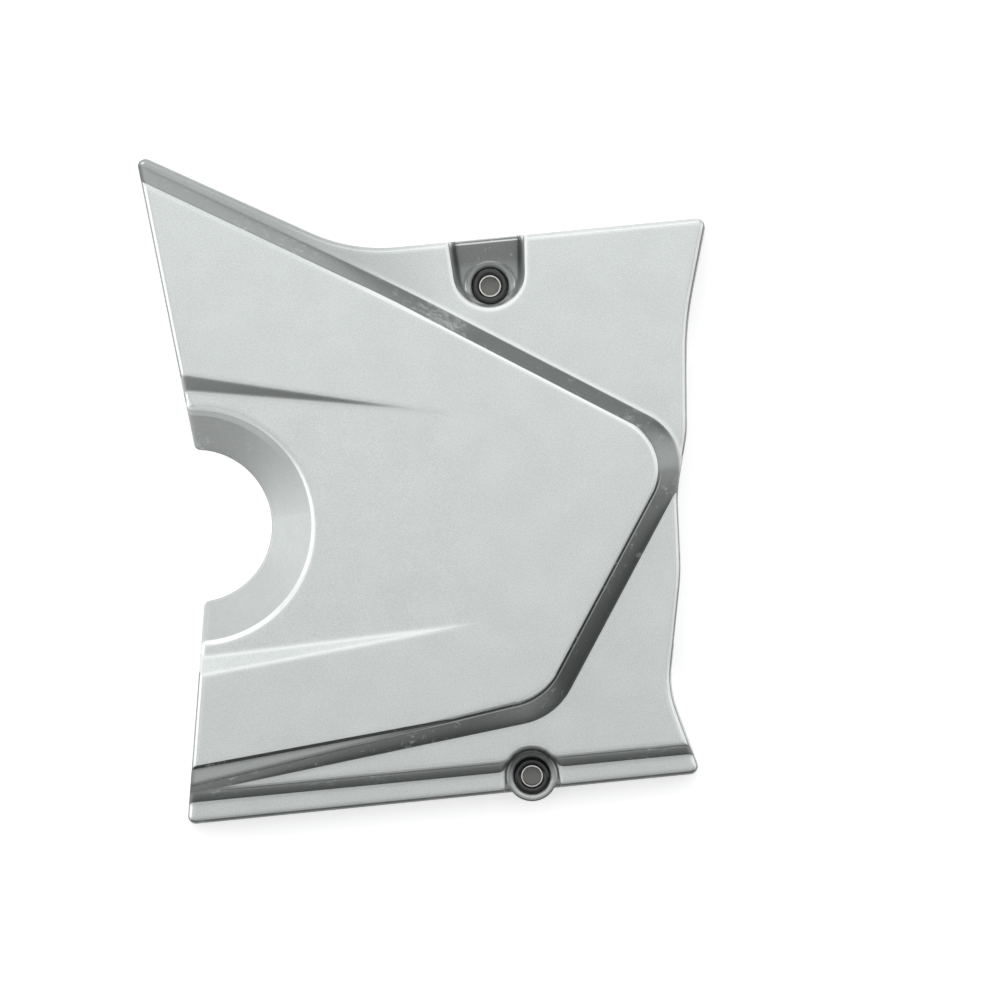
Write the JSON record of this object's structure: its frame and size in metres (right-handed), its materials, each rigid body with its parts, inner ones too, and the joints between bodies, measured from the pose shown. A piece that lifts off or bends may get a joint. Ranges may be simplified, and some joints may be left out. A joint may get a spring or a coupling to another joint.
{
  "type": "sprocket cover",
  "caption": "Hollow moulded motorcycle sprocket cover with a raised plateau, a half-round front cut-out and rubber-mounted bolt sleeves.",
  "frame": {"origin": "centre of the lower fixing's sleeve bore, on the mounting plane of the rim", "axes": "+Z outwards along the bolts, away from the engine; +Y from the lower fixing to the upper one; +X to the rear"},
  "size_m": [0.1904, 0.2262, 0.031],
  "materials": {
    "silver_paint": "satin silver paint on moulded plastic",
    "rubber": "smooth black rubber",
    "steel": "turned, bright zinc plate"
  },
  "bodies": {
    "root": {"cover": "silver_paint", "upper_grommet": "rubber", "lower_grommet": "rubber", "upper_collar": "steel", "lower_collar": "steel"}
  },
  "joints": []
}
